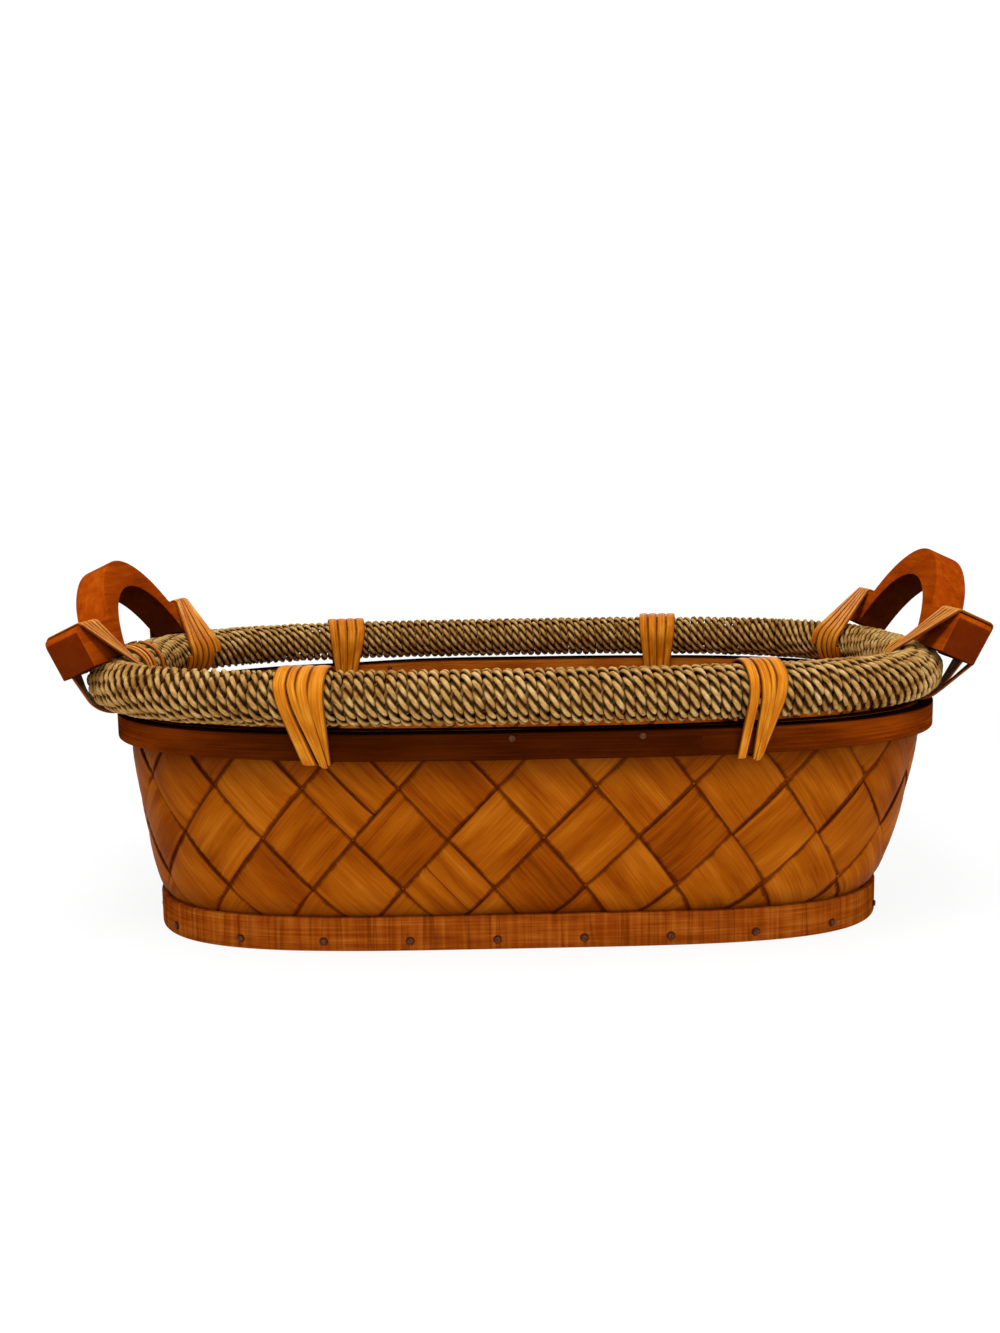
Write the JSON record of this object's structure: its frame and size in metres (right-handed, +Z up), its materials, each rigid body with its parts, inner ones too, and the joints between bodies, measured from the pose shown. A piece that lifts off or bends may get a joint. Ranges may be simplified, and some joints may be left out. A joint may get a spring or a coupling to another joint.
{
  "type": "woodchip basket",
  "caption": "Oval woven woodchip basket with bent-wood bands, a cord-wound rim tied on with rattan and an arched wooden handle lashed to each end.",
  "frame": {"origin": "middle of the oval base, on its underside, where the basket stands", "axes": "+X along the basket towards its right handle, +Y from the pictured front to the back, +Z up"},
  "size_m": [0.4291, 0.267, 0.1627],
  "materials": {
    "chip": "varnished, satin",
    "band": "varnished, satin",
    "board": "sawn, matte",
    "handle": "stained, semi-gloss",
    "cord": "twisted grass cord, matte",
    "rattan": "split rattan, semi-gloss",
    "core": "plain cane, matte",
    "nail": "plain steel wire nail"
  },
  "bodies": {
    "root": {"base_board": "board", "base_band": "band", "woven_wall": "chip", "outer_top_band": "band", "inner_top_band": "band", "rim_core": "core", "rim_winding": "cord", "rim_tie_front_left": "rattan", "rim_tie_front_right": "rattan", "rim_tie_back_left": "rattan", "rim_tie_back_right": "rattan", "handle_left": "handle", "handle_right": "handle", "lashing_left_front": "rattan", "lashing_left_back": "rattan", "lashing_right_front": "rattan", "lashing_right_back": "rattan", "base_nail_1": "nail", "base_nail_2": "nail", "base_nail_3": "nail", "base_nail_4": "nail", "base_nail_5": "nail", "base_nail_6": "nail", "base_nail_7": "nail", "base_nail_8": "nail", "base_nail_9": "nail", "base_nail_10": "nail", "base_nail_11": "nail", "base_nail_12": "nail", "base_nail_13": "nail", "base_nail_14": "nail", "base_nail_15": "nail", "base_nail_16": "nail", "base_nail_17": "nail", "base_nail_18": "nail", "base_nail_19": "nail", "base_nail_20": "nail", "base_nail_21": "nail", "base_nail_22": "nail", "base_nail_23": "nail", "base_nail_24": "nail", "base_nail_25": "nail", "base_nail_26": "nail", "inner_band_nail_back": "nail", "inner_band_nail_front": "nail", "outer_band_nail_back_1": "nail", "outer_band_nail_back_2": "nail", "outer_band_nail_front_1": "nail", "outer_band_nail_front_2": "nail"}
  },
  "joints": []
}
